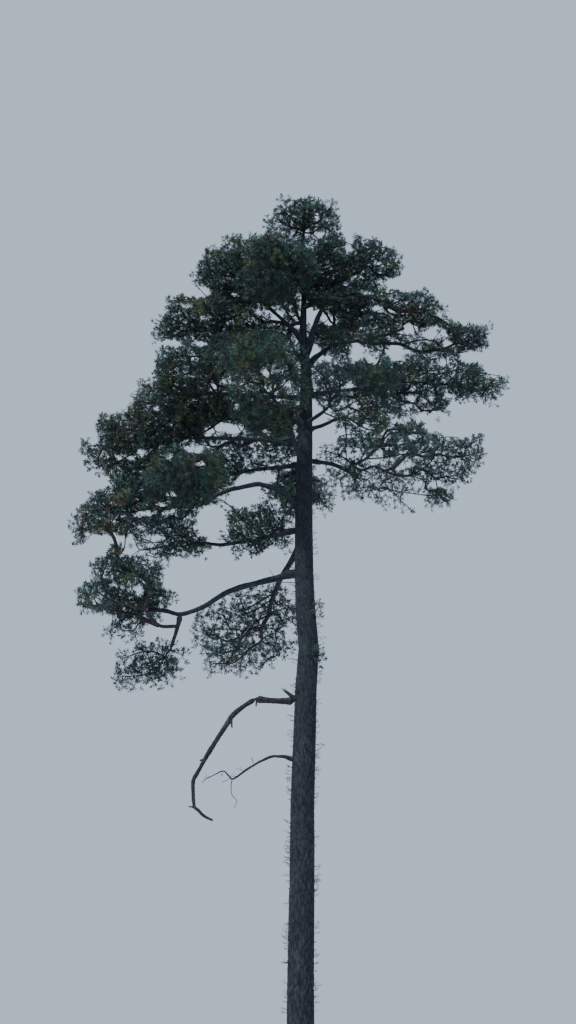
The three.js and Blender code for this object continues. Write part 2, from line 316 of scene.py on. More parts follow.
SKIN_TO_MEAN = 0.91  # the nearest skin of a six-sided limb, as a share of its mean radius
WANDER = {"reach": 0.14, "scale": 0.8, "from": 0.9}  # in full from so far along a bough
WANDER_SEED = 2

noise.seed_set(WANDER_SEED)


def wandered(points, share=1):
    """The same points, each moved a little by a field that is one for the whole crown."""
    shift = [noise.noise_vector(Vector(point) * WANDER["scale"]) for point in points]
    return np.asarray(points, float) + np.array(shift) * WANDER["reach"] * share


def limb_line(node):
    """The line and radius of a CAD limb, from the end by the trunk to the far end."""
    corners = np.array([v.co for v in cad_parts[node].data.vertices])
    off_axis = np.array([length_of((corner - trunk_middle(corner[2]))[:2])[0] for corner in corners])
    foot = corners[np.argsort(off_axis)[:FOOT_CORNERS]].mean(axis=0)
    tip = corners[np.argmax(length_of(corners - foot))]
    skin = skin_of(node)
    line = []
    for share in np.linspace(*CUT_SHARES, LIMB_CUTS):
        middle = middle_of_cut(node, foot + (tip - foot) * share, unit(tip - foot))
        radius = skin.find_nearest(middle)[3] / SKIN_TO_MEAN
        line.append((*middle, radius))
    return np.array(line)


def with_ends(line, back, on):
    """A limb's line made longer at both ends, straight on."""
    first = line[0] + (line[0] - line[1]) * back / length_of((line[0] - line[1])[:3])
    last = line[-1] + (line[-1] - line[-2]) * on / length_of((line[-1] - line[-2])[:3])
    first[3], last[3] = line[0][3], line[-1][3]
    return np.vstack([first, line, last])


def run_along(line):
    """How far along a line each of its points lies."""
    return np.concatenate([[0], np.cumsum(length_of(np.diff(line[:, :3], axis=0))[:, 0])])


def bark_limb(line, sides, plate, seed, swell=COLLAR["swell"], sunk=0.0, ragged=0.0):
    """A limb with bark relief round a line of places and radii, swollen where it comes out of what it
    is sunk in. Ragged is how far the splinters of a broken far end stand out."""
    middles = line[:, :3]
    ahead = unit(np.gradient(middles, axis=0))
    across, above = square_to(middles)
    run = run_along(line)

    def limb_vertex(ring, turn):
        past_collar = max(0, run[ring] - sunk) / COLLAR["length"]
        radius = line[ring][3] * (1 + swell * math.exp(-(past_collar**2)))
        way = across[ring] * math.cos(turn) + above[ring] * math.sin(turn)
        wrapped = (radius * math.cos(turn), radius * math.sin(turn), run[ring])
        on_plate = plate_at(wrapped, plate, seed)
        depth = min(plate["depth"], radius * THIN_BARK)
        knob_at = Vector((*wrapped[:2], run[ring] * KNOBS["spacing"] + seed * KNOBS["apart"]))
        knobs = noise.noise(knob_at) * radius * KNOBS["share"]
        near_end = max(0, 1 - (len(line) - 1 - ring) / SPLINTERED_RINGS)
        splinter_at = Vector((SPLINTERS_ROUND * math.cos(turn), SPLINTERS_ROUND * math.sin(turn), seed))
        splinter = ragged * near_end * noise.noise(splinter_at)
        skin = way * (radius + knobs + (on_plate - LIMB_FURROWS) * depth)
        return Vector(middles[ring] + skin + ahead[ring] * splinter), on_plate

    return bark_bar(sides, len(line) - 1, limb_vertex)


bough_nodes = sorted(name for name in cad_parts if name.startswith("bough_"))
bough_lines = {}
for seed, node in enumerate(bough_nodes):
    line = with_ends(limb_line(node), BOUGH_ROOT, BOUGH_TIP)
    sunk = BOUGH_ROOT
    if length_of((line[0][:3] - trunk_middle(line[0][2]))[:2])[0] < ON_TRUNK:
        steep = unit(line[1][:3] - line[0][:3])[2]
        line[0][:3] = trunk_middle(line[1][2] - BOUGH_DROP - BOUGH_CROTCH * steep)
        sunk = run_along(line)[1]
    grown = np.clip(run_along(line) / WANDER["from"], 0, 1)[:, None]
    line[:, :3] = wandered(line[:, :3], grown)
    line = curved(line, BOUGH_STEP)
    line[:, 3] += BOUGH_BARK
    bough_lines[node] = line
    name = node.replace("bough_", "bark_")
    shown(name, bark_limb(line, BOUGH_SIDES, BOUGH_PLATE, seed, sunk=sunk), bark, [node])

# Dead limbs: two that broke off short long ago, low on the left. The bark has mostly dropped from
# their grey wood. The broken one has a knuckle at its bend, stubs of side limbs and splintered ends.
DEAD_SIDES = 20
DEAD_STEP = 0.03
DEAD_CRACK = {"width": 0.035, "height": 0.16, "depth": 0.012}
KNUCKLE = {"swell": 0.45, "length": 0.15}
BROKEN_BOW = (-0.03, 0, 0.01)  # how far the outer part of the broken limb bows out in its middle
BROKEN_ROOT = 0.10  # how far each limb runs on into the trunk
THIN_ROOT = 0.06
SPLINTERS = 0.16
DEAD_SEEDS = {"broken": 21, "thin": 22, "stubs": 23, "trunk stub": 29}
DEAD_COLOURS = {
    "furrow": (0.008, 0.009, 0.012),
    "plate": (0.036, 0.037, 0.042),
    "lichen": (0.062, 0.068, 0.076),
}
STUB_SIDES = 12
STUB_TAPER = 0.45
STUB_SWELL = 0.2
STUB_SHARE = 0.55  # a stub's radius at its foot, as a share of the limb's
STUB_RINGS = 5  # the fewest
STUBS = {  # share of the way along the broken limb, then where the stub points, and its length
    "inner": (0.21, (-0.1, 0.1, -1), 0.20),
    "bend": (0.38, (0.12, -0.1, -1), 0.26),
    "outer": (0.62, (-0.9, 0.15, -0.2), 0.12),
    "far": (0.88, (-1, -0.3, 0.1), 0.15),
}
TRUNK_STUB = {"height": 10.78, "from_middle": (-0.26, -0.03, 0), "radius": 0.055, "swell": 0.3}
TRUNK_STUB_LINE = {"points": (-1, -0.1, 0.8), "length": 0.42}
VIEW = {"eye": (-0.28, -29.6, 1.6), "tilt": math.radians(26.5), "focal": 1150, "middle": (288, 512)}
HOOK = [(198, 810), (204, 816), (212, 820)]  # where the end of the broken limb curls in the photograph
HOOK_TAPER = (1.0, 0.6)  # its radii, as shares of the limb's where it starts
CROOK = [(232, 779), (228, 775), (223, 771), (214, 775), (204, 780)]  # the same of the thin limb
CROOK_TAPER = (0.9, 0.4)
CROOK_TWIG = [(232, 780), (231, 786), (232, 795), (237, 801), (234, 808)]  # and of the twig that hangs
view_cos, view_sin = math.cos(VIEW["tilt"]), math.sin(VIEW["tilt"])


def placed_at(u, v, past_trunk):
    """The place that shows at a spot in the photograph, so far past the trunk, and a pixel's size there."""
    right, up = (u - VIEW["middle"][0]) / VIEW["focal"], (VIEW["middle"][1] - v) / VIEW["focal"]
    reach = (past_trunk - VIEW["eye"][1]) / (view_cos - up * view_sin)
    ray = np.array([right, view_cos - up * view_sin, view_sin + up * view_cos])
    return np.array(VIEW["eye"]) + ray * reach, reach / VIEW["focal"]


def seen_line(spots, past_trunk, radii):
    """A line through spots in the photograph, so far past the trunk, that thins as it runs on."""
    middles = [placed_at(*spot, past_trunk)[0] for spot in spots]
    return np.column_stack([middles, np.linspace(*radii, len(spots))])


def run_on(line, spots, taper):
    """A limb's line, and then a line through spots in the photograph that goes on from its end."""
    away, radius = line[-1][[1, 3]]
    return np.vstack([line, seen_line(spots, away, [radius * share for share in taper])])


dead_wood = bark_finish("dead wood", **DEAD_COLOURS)
broken_nodes = ["dead_limb_inner", "dead_limb_outer"]
inner_line, outer_line = (limb_line(node) for node in broken_nodes)
along_outer = np.linspace(0, math.pi, len(outer_line))[:, None]
outer_line[:, :3] += np.sin(along_outer) * BROKEN_BOW
broken_line = run_on(np.vstack([inner_line, outer_line]), HOOK, HOOK_TAPER)
broken_line = curved(with_ends(broken_line, BROKEN_ROOT, 0.0), DEAD_STEP)
from_bend = length_of(broken_line[:, :3] - inner_line[-1][:3])[:, 0]
broken_line[:, 3] *= 1 + KNUCKLE["swell"] * np.exp(-((from_bend / KNUCKLE["length"]) ** 2))
broken_limb = bark_limb(broken_line, DEAD_SIDES, DEAD_CRACK, DEAD_SEEDS["broken"], ragged=SPLINTERS)
shown("dead_wood_broken", broken_limb, dead_wood, broken_nodes)

thin_line = run_on(limb_line("dead_limb_thin"), CROOK, CROOK_TAPER)
thin_line = curved(with_ends(thin_line, THIN_ROOT, 0.0), DEAD_STEP)
thin_limb = bark_limb(thin_line, DEAD_SIDES, DEAD_CRACK, DEAD_SEEDS["thin"], ragged=SPLINTERS / 2)
shown("dead_wood_thin", thin_limb, dead_wood, ["dead_limb_thin"])


def stub_line(foot, thick, points, length):
    """The line of a stub that tapers from its foot on the limb's own line."""
    shares = np.linspace(0, 1, max(STUB_RINGS, round(length / DEAD_STEP)))[:, None]
    middles = foot + unit(np.array(points, float)) * length * shares
    return np.hstack([middles, thick * (1 - STUB_TAPER * shares)])


for seed, (name, (share, points, length)) in enumerate(STUBS.items(), DEAD_SEEDS["stubs"]):
    *foot, thick = broken_line[round(share * (len(broken_line) - 1))]
    line = stub_line(np.array(foot), thick * STUB_SHARE, points, length)
    stub = bark_limb(line, STUB_SIDES, DEAD_CRACK, seed, swell=STUB_SWELL, ragged=SPLINTERS)
    shown("dead_stub_" + name, stub, dead_wood, broken_nodes)
stub_foot = trunk_middle(TRUNK_STUB["height"]) + np.array(TRUNK_STUB["from_middle"])
line = stub_line(stub_foot, TRUNK_STUB["radius"], **TRUNK_STUB_LINE)
seed, swell = DEAD_SEEDS["trunk stub"], TRUNK_STUB["swell"]
stub = bark_limb(line, STUB_SIDES, DEAD_CRACK, seed, swell=swell, ragged=SPLINTERS)
shown("dead_stub_trunk", stub, dead_wood, ["trunk"])

# Branches: the live wood past the ends of the boughs. It forks from the limb that is easiest to reach
# it from, and thins with the shoots that it still feeds. Each branch ends at the seat of a clump, in a
# CAD mass or in a spray that joins one mass to the next, and not where the photograph shows sky.
SEAT_SPACING = {"outer": 0.275, "inner": 0.42}
SEAT_DEPTH = {"least": 0.05, "inner": 0.40}
SEAT_TRIES = 320  # for each cubic metre
SEATS_AT_MOST = 6000
TOUCH = 0.001
BRIDGE = {"gap": 0.62, "tries": 45}  # masses this near each other grow together
LUMPS = {"reach": 0.16, "scale": 1.7}  # how far the edge of a mass is uneven, and how finely
OPEN_MASSES = {  # masses with wider spacing, because more sky shows through them
    "foliage_tier3_right": 1.65,
    "foliage_tier3_right_front": 1.7,
    "foliage_tier3_right_tip": 1.25,
    "foliage_tier3_rightback": 1.7,
    "foliage_tier4_backright": 1.6,
    "foliage_tier2_backleft": 1.1,
    "foliage_tier2_backleft_near": 1.15,
    "foliage_tier1_left": 1.15,
    "foliage_tier1_back": 1.4,
    "foliage_tier1_drop": 1.2,
}
SPRAY_DEPTH = 0.5  # half the extent of a spray along the view
SPRAY_REACH = 6.0  # the farthest that a spray lies from the mass it is counted with
SPRAYS = {  # middle and half size in the photograph, then the distance past the trunk, and the spacing
    "top": (297, 207, 15, 6, -0.2, 0.9),
    "left of the top": (277, 222, 8, 9, -0.2, 1.0),
    "over the leader's foot": (316, 301, 11, 5, -0.3, 0.9),
    "under the left fork": (291, 308, 9, 8, -0.3, 0.9),
    "beside tier 4 right": (331, 367, 12, 5, -0.3, 1.0),
    "over the left fork": (262, 295, 38, 10, -0.3, 1.0),
    "inner tier 5 left": (244, 325, 17, 20, 0.0, 1.0),
    "over tier 3 front": (276, 340, 22, 13, 0.6, 1.0),
    "by the foot of the left fork": (284, 330, 13, 6, 0.4, 0.9),
    "by the foot of the leader": (329, 334, 15, 8, 0.3, 1.1),
    "between tiers 4 and 5 left": (224, 358, 18, 18, -0.2, 1.0),
    "front of the neck": (262, 349, 30, 12, -1.1, 1.0),
    "back of the neck": (240, 347, 34, 13, 1.2, 1.0),
    "far back of the neck": (212, 352, 26, 12, 2.1, 1.1),
    "farther in front of the neck": (252, 352, 28, 11, -2.1, 1.1),
    "behind tier 4 left": (225, 368, 30, 11, 2.6, 1.1),
    "behind tier 4 right": (366, 378, 26, 9, 1.7, 1.2),
    "in front of tier 5": (262, 288, 28, 14, -2.0, 1.1),
    "behind tier 5": (226, 300, 30, 12, 1.9, 1.1),
    "behind the leader": (350, 297, 22, 14, 1.5, 1.1),
    "in front of tier 4 right": (378, 378, 24, 10, -1.7, 1.2),
    "right of tier 5 left": (262, 327, 12, 10, 0.4, 1.0),
    "by the trunk over tier 4 left": (289, 358, 11, 8, -0.4, 1.0),
    "under the leader": (378, 299, 14, 6, 0.0, 1.2),
    "under tier 5 right": (390, 319, 13, 11, 0.0, 1.0),
    "on the outer bough of tier 5": (404, 342, 15, 5, 0.1, 1.0),
    "on the right bough of tier 5": (341, 349, 9, 8, -0.3, 1.3),
    "hung from the right bough of tier 5": (372, 346, 9, 8, 0.0, 1.1),
    "between tiers 4 and 5 right": (427, 350, 20, 10, 0.2, 1.2),
    "under the right tip of tier 5": (452, 345, 12, 13, 0.2, 1.1),
    "right tip of tier 5": (470, 348, 16, 11, 0.2, 1.0),
    "right tip of tier 4": (489, 393, 12, 7, 0.2, 1.0),
    "right tip of tier 3": (470, 450, 12, 12, 0.6, 1.0),
    "low tip of tier 3 right": (439, 497, 13, 8, 0.9, 1.0),
    "right of the low tip of tier 3": (461, 474, 10, 7, 0.8, 1.1),
    "hung from tier 4 right": (426, 406, 27, 8, 0.0, 1.15),
    "under tier 3 front right": (334, 408, 12, 9, -1.5, 1.4),
    "on the right bough of tier 3": (334, 455, 15, 6, 0.4, 1.1),
    "under the right bough of tier 3": (346, 472, 18, 9, 0.6, 1.2),
    "under the right tip of tier 3": (447, 474, 22, 8, 0.8, 1.2),
    "tier 3 left by the trunk": (262, 446, 32, 8, 0.5, 1.0),
    "under tier 3 left by the trunk": (262, 463, 28, 7, 0.8, 1.1),
    "left end of tier 5 left": (163, 329, 12, 7, 0.0, 1.0),
    "outer tier 4 left": (137, 409, 10, 8, -0.5, 1.0),
    "on the tip of tier 2 left": (103, 495, 12, 8, -0.3, 1.0),
    "inner end of tier 2 left": (208, 497, 12, 8, 0.0, 1.4),
    "behind the trunk at tier 2": (278, 490, 14, 9, 1.0, 1.4),
    "along tier 2 back": (250, 538, 24, 7, 1.2, 1.2),
    "inner end of tier 2 back": (286, 519, 10, 10, 0.7, 1.1),
    "far along tier 2 back": (183, 545, 26, 8, 2.0, 1.2),
    "under tier 1 left": (133, 625, 20, 12, 0.8, 1.4),
    "outer tier 2 back": (193, 541, 18, 9, 1.8, 1.1),
    "right of tier 1 left": (154, 581, 12, 13, 0.2, 1.3),
    "over tier 1 back": (262, 600, 30, 9, 2.2, 1.2),
    "right of the trunk": (322, 500, 9, 7, 0.3, 1.0),
    "under the leader's left": (376, 326, 7, 8, 0.0, 1.0),
    "on the right bough, far out": (384, 340, 9, 4, 0.0, 1.0),
    "right edge of the leader": (394, 273, 6, 9, 0.0, 1.0),
    "right under the top": (334, 238, 7, 4, -0.2, 1.0),
    "beside the trunk at tier 3": (289, 451, 8, 8, 0.2, 1.0),
    "beside the trunk at tier 4": (290, 380, 7, 8, 0.1, 1.1),
    "hung from the middle of tier 4 right": (396, 404, 12, 8, 0.0, 1.1),
    "low in tier 3 right": (352, 485, 15, 8, 0.8, 1.3),
    "over the low bough of tier 3 right": (396, 470, 14, 6, 0.8, 1.2),
    "left of the tip of tier 3 right": (351, 446, 10, 7, 0.3, 1.2),
    "far along tier 3 left": (226, 446, 12, 5, 0.4, 1.0),
    "upper sprig on the trunk": (316, 610, 3, 4, -0.1, 1.4),
    "lower sprig on the trunk": (318, 656, 3, 4, -0.1, 1.4),
}
SKY_GAPS = {  # where the sky shows, as ovals in the photograph: each one's middle and half size
    "over the top": [(268, 206, 9, 11), (300, 189, 40, 9)],
    "under the top": [(318, 235, 6, 4), (306, 233, 3, 4), (278, 224, 4, 2)],
    "round the leader": [(348, 240, 4, 17), (312, 317, 9, 9), (330, 320, 11, 6), (406, 249, 10, 11)],
    "right of the top": [(346, 214, 7, 15)],
    "over the leader": [(393, 239, 14, 9), (366, 231, 15, 4)],
    "under the leader": [(366, 293, 8, 3), (398, 287, 9, 3), (345, 284, 4, 3)],
    "round the left fork": [(202, 291, 9, 6), (255, 310, 4, 2), (277, 317, 7, 5), (259, 339, 3, 3)],
    "tier 5 left": [(187, 306, 7, 2), (168, 343, 12, 4), (200, 344, 6, 4), (195, 357, 5, 5)],
    "tier 5 left, inside": [(236, 295, 5, 3)],
    "over tier 5 left": [(153, 306, 14, 17), (178, 286, 17, 12), (186, 254, 15, 20), (196, 294, 14, 5)],
    "over tier 4 left": [(142, 362, 15, 19), (125, 386, 12, 12), (114, 403, 15, 11), (90, 428, 9, 14)],
    "over tier 5 right": [(403, 284, 17, 7), (426, 281, 13, 6), (447, 296, 11, 9)],
    "tier 5 right": [(378, 309, 6, 4), (392, 311, 6, 3), (408, 329, 11, 6)],
    "over the tips on the right": [(467, 312, 26, 14), (498, 366, 18, 12), (513, 380, 6, 8)],
    "over tier 3 right": [(454, 427, 29, 10), (430, 426, 9, 7)],
    "tier 5 right, tip": [(433, 333, 14, 7), (447, 343, 5, 6), (474, 356, 14, 6), (444, 362, 8, 4)],
    "under the right bough of tier 5": [(316, 350, 5, 7), (325, 358, 6, 4), (358, 352, 9, 10)],
    "the large gap in tier 5": [(374, 361, 9, 4), (397, 353, 11, 9)],
    "tier 4 left": [(214, 385, 3, 6), (237, 407, 3, 3), (157, 409, 4, 3)],
    "round the steep bough": [(267, 372, 7, 5), (282, 371, 4, 4), (276, 384, 3, 3)],
    "by the steep bough": [(269, 389, 7, 3), (287, 384, 4, 3), (277, 399, 7, 5)],
    "tier 4 right": [(350, 385, 4, 5), (413, 388, 4, 3), (315, 388, 2, 7), (314, 402, 4, 5)],
    "in tier 4 right, low": [(411, 399, 6, 3), (431, 397, 5, 2), (452, 404, 4, 3)],
    "under tier 4 right": [(324, 416, 5, 7), (343, 402, 4, 3), (356, 406, 5, 4), (406, 408, 4, 2)],
    "under tier 4 right, tip": [(449, 396, 7, 3), (426, 417, 15, 5)],
    "tier 3 left": [(230, 429, 17, 6), (209, 432, 6, 5), (195, 449, 11, 5), (266, 431, 5, 4)],
    "tier 3 by the trunk": [(294, 432, 4, 6), (270, 442, 5, 2)],
    "tier 3 left, tip": [(93, 440, 6, 6), (95, 484, 17, 7), (122, 457, 13, 3), (141, 452, 5, 4)],
    "under tier 3 left": [(169, 457, 5, 4), (201, 464, 5, 5), (246, 463, 4, 3), (288, 469, 5, 3)],
    "tier 3 right": [(325, 436, 11, 11), (346, 432, 6, 5), (351, 455, 7, 3), (386, 437, 8, 4)],
    "tier 3 right, inside": [(374, 462, 7, 3), (366, 428, 7, 5), (400, 421, 12, 3), (392, 428, 5, 4)],
    "tier 3 right, outside": [(388, 447, 5, 4), (413, 436, 6, 4), (410, 463, 5, 3), (380, 453, 4, 3)],
    "tier 3 right, tip": [(401, 443, 4, 5), (403, 454, 5, 4), (421, 453, 4, 4), (440, 485, 14, 3)],
    "tier 3 right, between": [(396, 430, 4, 3), (406, 452, 4, 3), (392, 459, 5, 3), (383, 443, 3, 3)],
    "tier 3 right, far out": [(431, 446, 4, 3), (416, 457, 3, 3), (399, 468, 4, 3)],
    "under tier 3 right": [(319, 472, 7, 7), (418, 484, 7, 5), (413, 501, 9, 8), (371, 508, 15, 6)],
    "round the arched bough": [(257, 479, 25, 6), (240, 499, 23, 9), (212, 523, 17, 18)],
    "tier 2 left": [(171, 495, 6, 4), (145, 514, 14, 3), (160, 504, 7, 3), (171, 512, 8, 4)],
    "under tier 2 left": [(113, 521, 5, 3), (140, 527, 4, 3), (155, 538, 11, 4), (138, 551, 16, 5)],
    "over the lowest bough": [(200, 582, 20, 15), (268, 563, 18, 8), (240, 572, 16, 9)],
    "tier 1": [(170, 585, 8, 6), (171, 616, 8, 5), (290, 631, 6, 9), (278, 676, 20, 11)],
    "round tier 1 left": [(80, 566, 13, 17), (96, 548, 13, 13), (100, 620, 15, 8), (116, 539, 18, 6)],
    "left of tier 1 left": [(70, 592, 7, 15), (87, 576, 6, 4), (95, 601, 5, 3)],
    "in tier 1 left": [(128, 549, 5, 4), (150, 556, 5, 4), (112, 584, 4, 3), (140, 590, 5, 4)],
    "right of tier 1 left": [(166, 578, 5, 8)],
    "under tier 2 back": [(276, 551, 14, 5)],
}
GAP_RAGGED = 1.1  # how uneven the edges of the gaps are, and how finely
GAP_GRAIN = 0.14
GAP_MARGIN = {"seats": -1.5, "tufts": 0.0}  # how far they keep out of a gap, in pixels
WAYS = {  # main branches as the photograph shows them: spots along each, and how far past the trunk
    "tier 2 back": [(272, 533, 0.5), (252, 541, 0.9), (234, 551, 1.4), (212, 554, 1.8), (190, 554, 2.2)],
    "tier 1 back": [(262, 628, 2.6), (246, 634, 2.8), (226, 640, 2.8), (208, 642, 2.8)],
    "tier 1 left": [(144, 609, -0.2), (132, 605, -0.3), (120, 602, -0.3), (108, 599, -0.3)],
    "under tier 1 left": [(172, 619, -0.1), (159, 625, 0.1), (146, 622, 0.3), (136, 615, 0.5)],
    "tier 5 right tip": [(452, 338, 0.2), (466, 345, 0.2), (478, 343, 0.2)],
    "tier 3 right low": [(372, 466, 0.8), (398, 478, 0.9), (424, 490, 0.9), (444, 496, 0.9)],
}
AXIS = {"step": 0.45, "run": 0.7, "drop": 0.35}  # the main branch low in each mass; shares of the mass
STEM_JOINTS = {"lowest": 12.5, "step": 0.3, "way": 0.3}  # where branches may leave the trunk itself
BOUGH_JOINTS = {"bare": 1 / 3, "end": 6, "stride": 7}  # share of a bough with no joints, then rings
WAY_PRICE = 0.26  # for each metre of wood from the trunk to the joint that a branch grows from
BEND_PRICE = 0.85  # for a bend square to that joint's own way, as a share of the price
FALL_PRICE = 0.3  # for a branch that grows straight down
LEAP = 0.75  # metres from one joint to the next that count twice
JOINT_DIGITS = 5  # decimals of a metre, and of a price
AXIS_DISCOUNT = 0.62  # share of the price that a main branch pays
SHOOT_RADIUS = 0.0042
FEED = 0.42  # a branch is as thick as one shoot times the number of its shoots to this power
SHOULDER = 0.92  # the thickest a branch may be where it leaves a limb, as a share of the limb
SHOOTS = 10  # in a clump
BRANCH_STEP = 0.16
BRANCH_SIDES = {0.02: 8, 0.011: 6, 0: 4}  # sides of a branch whose radius is more than this
BRANCH_COLOURS = [(0.012, 0.012, 0.014), (0.036, 0.035, 0.038)]
TWIG_BARK = {"Roughness": 0.9, "Specular IOR Level": 0.25}
TWIG_NOISE = (14.0, 6.0)
STREAKS = (0.36, 0.64)  # where in that noise the dark ones end, and the light ones start
SEAT_SEED = 4

chance = random.Random(SEAT_SEED)
mass_nodes = sorted(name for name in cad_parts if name.startswith("foliage_"))
mass_skins = {node: skin_of(node) for node in mass_nodes}
mass_lows, mass_highs = (np.array([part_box(node)[end] for node in mass_nodes]) for end in (0, 1))
sky_ovals = np.array([oval for ovals in SKY_GAPS.values() for oval in ovals], float)


def seen_at(place):
    """Where a place shows in the photograph."""
    right, away, up = np.asarray(place) - VIEW["eye"]
    size = VIEW["focal"] / (away * view_cos + up * view_sin)
    across, down = right * size, (away * view_sin - up * view_cos) * size
    return np.array(VIEW["middle"]) + (across, down)


def in_sky(place, margin):
    """Whether a place shows in one of the photograph's gaps, or within a margin of one in pixels."""
    seen = seen_at(place)
    ragged = 1 + GAP_RAGGED * noise.noise(Vector((*seen * GAP_GRAIN, place[1])))
    off = (seen - sky_ovals[:, :2]) / (sky_ovals[:, 2:] + margin)
    return bool(((off**2).sum(axis=1) < ragged).any())


def depths_at(place, reach):
    """How deep a place lies under the skin of each mass that it is in or near, less than nothing outside."""
    place = np.asarray(place)
    apart = np.maximum(mass_lows - place, place - mass_highs).max(axis=1)
    depths = {}
    for index in np.flatnonzero(apart < reach):
        node = mass_nodes[index]
        nearest, normal, _, distance = mass_skins[node].find_nearest(Vector(place))
        outside = (Vector(place) - nearest).dot(normal) > 0
        if not outside or distance < reach:
            depths[node] = -distance if outside else distance
    return depths


seats = np.empty((SEATS_AT_MOST, 3))
seat_nodes = []


def seat_at(place, node, spacing):
    """Takes a place for a clump, unless another clump is too near or the sky shows there."""
    count = len(seat_nodes)
    if count and ((seats[:count] - place) ** 2).sum(axis=1).min() < spacing**2:
        return
    if in_sky(place, GAP_MARGIN["seats"]):
        return
    seats[count] = place
    seat_nodes.append(node)


def places_in(low, high, tries):
    """Random places in a box, so many for each cubic metre."""
    low, high = np.array(low), np.array(high)
    for _ in range(math.ceil(np.prod(high - low) * tries)):
        yield low + (high - low) * [chance.random() for _ in range(3)]


for node in mass_nodes:
    for place in places_in(*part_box(node), SEAT_TRIES):
        depth = depths_at(place, TOUCH).get(node, -1)
        edge = SEAT_DEPTH["least"] + LUMPS["reach"] * noise.noise(Vector(place) * LUMPS["scale"])
        if depth > max(0, edge):
            spacing = SEAT_SPACING["inner" if depth > SEAT_DEPTH["inner"] else "outer"]
            seat_at(place, node, spacing * OPEN_MASSES.get(node, 1.0))
for u, v, half_width, half_height, past_trunk, spread in SPRAYS.values():
    middle, pixel = placed_at(u, v, past_trunk)
    half = np.array([half_width * pixel, SPRAY_DEPTH, half_height * pixel / view_cos])
    for place in places_in(middle - half, middle + half, SEAT_TRIES):
        if length_of((place - middle) / half)[0] < 1:
            depths = depths_at(place, SPRAY_REACH)
            seat_at(place, max(depths, key=depths.get), SEAT_SPACING["outer"] * spread)
for place in places_in(mass_lows.min(axis=0), mass_highs.max(axis=0), BRIDGE["tries"]):
    depths = depths_at(place, BRIDGE["gap"])
    near = sorted(depths.values())[-2:]
    if len(near) == 2 and max(near) < 0 and -sum(near) < BRIDGE["gap"]:
        seat_at(place, max(depths, key=depths.get), SEAT_SPACING["outer"])


def axis_of(node):
    """Places along the long way through a mass, low in it, where its main branch runs."""
    corners = np.array([v.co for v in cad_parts[node].data.vertices])
    middle = (corners.min(axis=0) + corners.max(axis=0)) / 2
    spread = np.linalg.eigh(np.cov((corners - middle)[:, :2].T))[1][:, -1]
    ahead = np.array([*spread, 0])
    run = (corners - middle) @ ahead
    count = max(2, round((run.max() - run.min()) * AXIS["run"] / AXIS["step"]))
    low = middle + (0, 0, (corners[:, 2].min() - middle[2]) * AXIS["drop"])
    return [low + ahead * stretch for stretch in np.linspace(run.min(), run.max(), count + 2)[1:-1]]


places = []  # every joint of the wood, with what it grew from and how far that is from the trunk
heading = []
way = []
mother = []
girth = []


def add_joint(place, ahead, distance, radius=0, source=-1):
    """Adds a joint, rounded so that every run makes the same choices from it. One on the trunk or on a
    bough has a radius and no source."""
    places.append(np.round(place, JOINT_DIGITS))
    heading.append(np.round(ahead, JOINT_DIGITS))
    way.append(round(float(distance), JOINT_DIGITS))
    mother.append(source)
    girth.append(radius)


for height in np.arange(STEM_JOINTS["lowest"], trunk_top - STEM_JOINTS["step"], STEM_JOINTS["step"]):
    add_joint(trunk_middle(height), (0, 0, 1), STEM_JOINTS["way"], radius=trunk_reach(height, 0))
for line in bough_lines.values():
    ahead = unit(np.gradient(line[:, :3], axis=0))
    run = run_along(line)
    bare, last = math.floor(len(line) * BOUGH_JOINTS["bare"]), len(line) - BOUGH_JOINTS["end"]
    for index in [*range(bare, last, BOUGH_JOINTS["stride"]), len(line) - 2]:
        add_joint(line[index][:3], ahead[index], run[index], radius=line[index][3])
root_count = len(places)

axes = [place for node in mass_nodes for place in axis_of(node)]
axes += [placed_at(*spot)[0] for spots in WAYS.values() for spot in spots]
targets = np.round(np.vstack([seats[: len(seat_nodes)], wandered(axes)]), JOINT_DIGITS)
discount = np.array([1.0] * len(seat_nodes) + [AXIS_DISCOUNT] * len(axes))

best = np.full(len(targets), np.inf)
best_mother = np.full(len(targets), -1)


def offer(joint):
    """Lets a joint bid for every target that has not been reached yet."""
    gap = targets - places[joint]
    distance = np.maximum(length_of(gap)[:, 0], 1e-6)
    straight = (gap * heading[joint]).sum(axis=1) / distance
    fall = np.maximum(0, -gap[:, 2]) / distance
    uneasy = BEND_PRICE * (1 - straight) + FALL_PRICE * fall + (distance / LEAP) ** 2
    price = np.round(distance * (1 + uneasy) * discount + WAY_PRICE * way[joint], JOINT_DIGITS)
    better = price < best
    best[better] = price[better]
    best_mother[better] = joint


for joint in range(root_count):
    offer(joint)
waiting = np.ones(len(targets), bool)
joint_target = [len(targets)] * root_count  # past the last target for a joint that reached none
while waiting.any():
    chosen = int(np.argmin(np.where(waiting, best, np.inf)))
    waiting[chosen] = False
    source = int(best_mother[chosen])
    step = targets[chosen] - places[source]
    add_joint(targets[chosen], unit(step), way[source] + length_of(step)[0], source=source)
    joint_target.append(chosen)
    offer(len(places) - 1)

daughters = [[] for _ in places]
for joint in range(root_count, len(places)):
    daughters[mother[joint]].append(joint)
fed = [SHOOTS if target < len(seat_nodes) else 0 for target in joint_target]
for joint in range(len(places) - 1, root_count - 1, -1):
    fed[mother[joint]] += fed[joint]


def radius_for(shoots):
    """How thick wood has to be that feeds so many shoots."""
    return SHOOT_RADIUS * max(1, shoots) ** FEED


